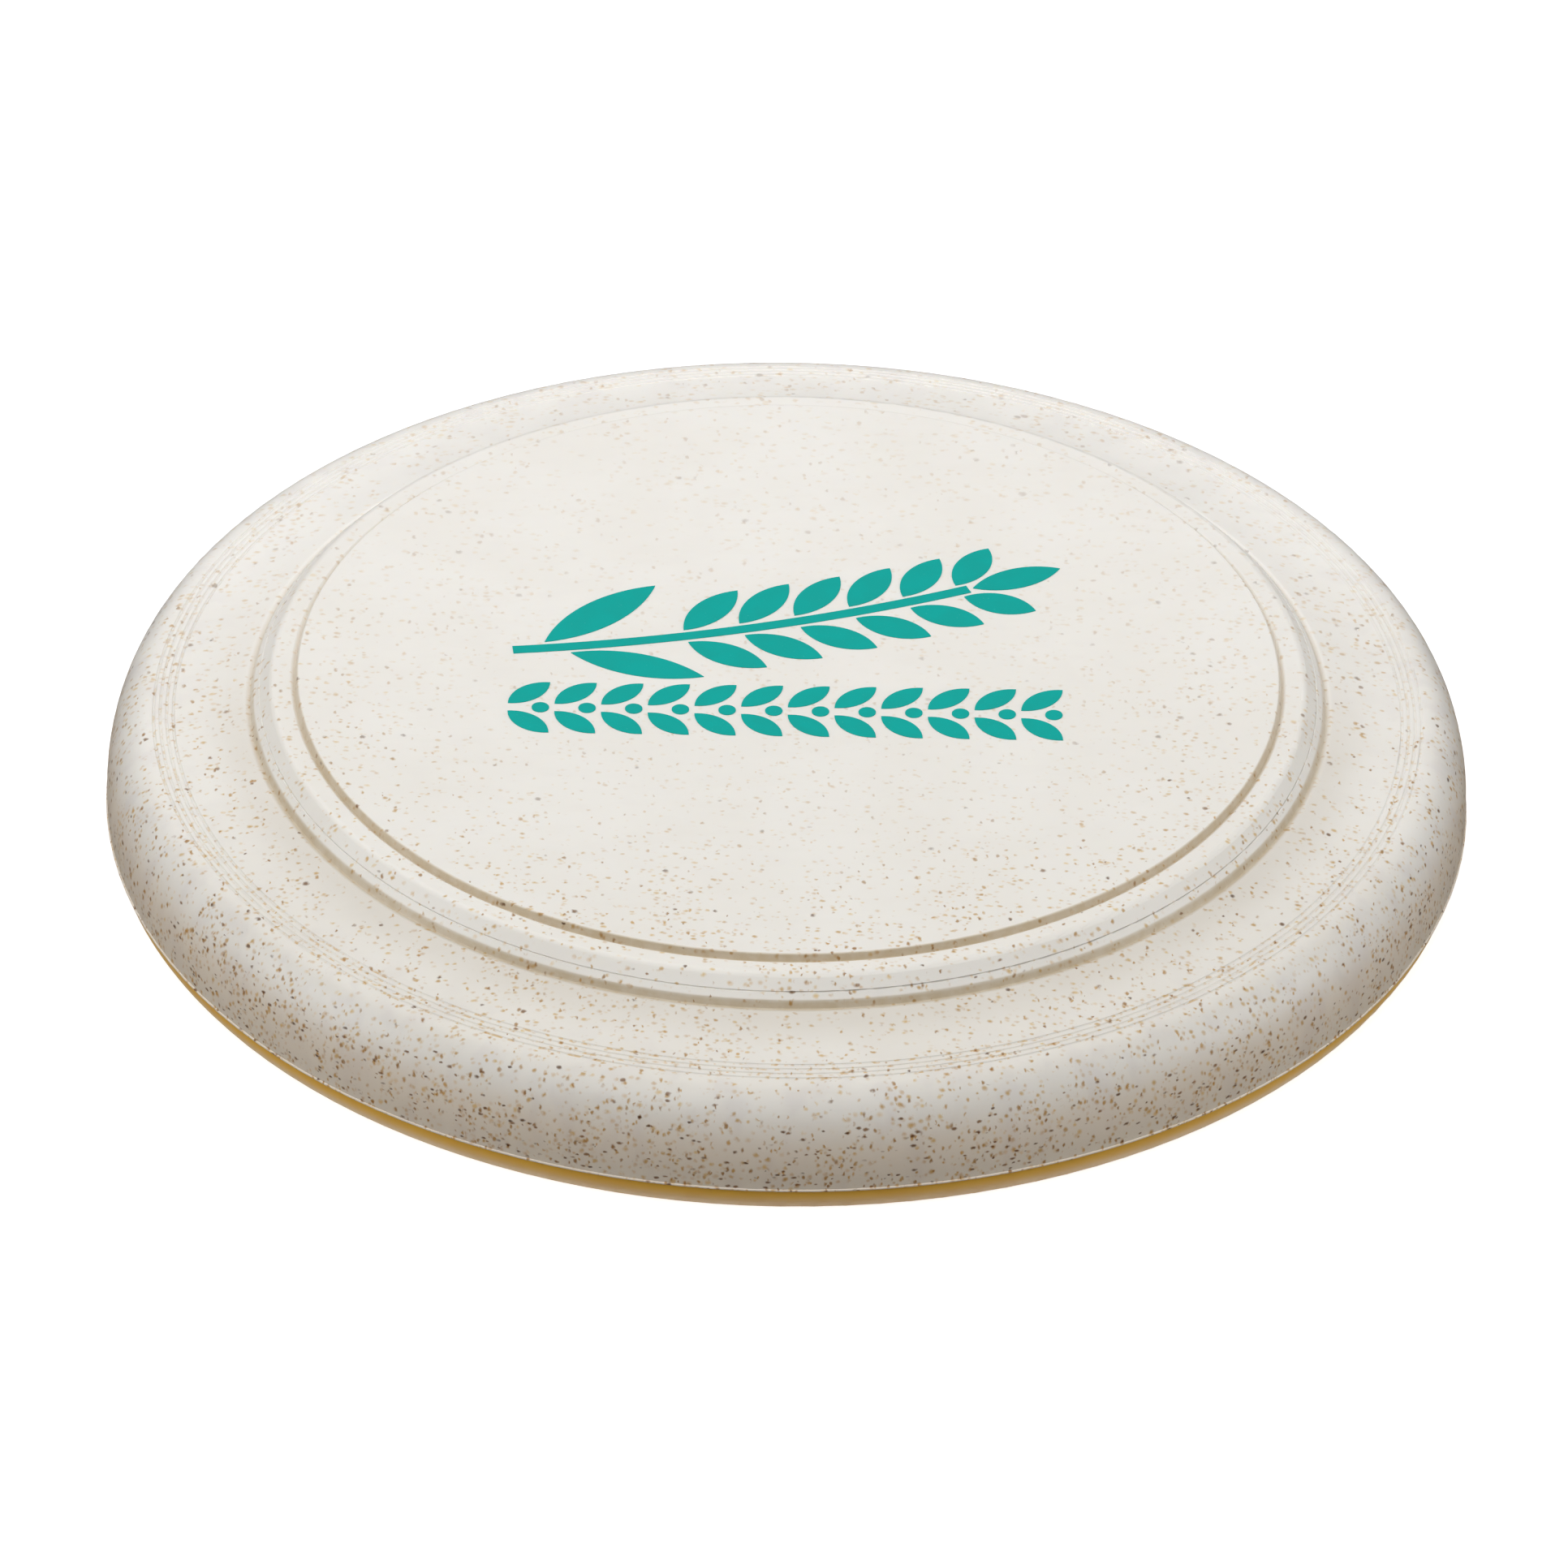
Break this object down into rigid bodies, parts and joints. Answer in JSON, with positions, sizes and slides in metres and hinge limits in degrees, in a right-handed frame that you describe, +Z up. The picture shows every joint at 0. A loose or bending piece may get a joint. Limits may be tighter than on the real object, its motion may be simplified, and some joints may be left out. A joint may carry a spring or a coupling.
{
  "type": "flying ring",
  "caption": "Closed flying disc for throwing, bowl-shaped, speckled natural plastic with a stepped crown, fine grooves, a tinted ring under the rim and a printed plant motif.",
  "frame": {"origin": "centre of the circle that the rim rests on, on the axis of the disc", "axes": "+Z up along the disc's axis, from the open underside to the crown; +X to the right of the printed motif; +Y towards its top edge"},
  "size_m": [0.235, 0.235, 0.0303],
  "materials": {
    "speckled_moulding": "cream plastic filled with plant fibre, tan and brown flecks, low gloss",
    "amber_ring": "smooth amber plastic, slightly translucent, glossy",
    "teal_ink": "flat opaque printing ink"
  },
  "bodies": {
    "root": {"disc_shell": "speckled_moulding", "rim_ring": "amber_ring", "print_stalk": "teal_ink", "print_grains": "teal_ink", "print_border": "teal_ink"}
  },
  "joints": []
}
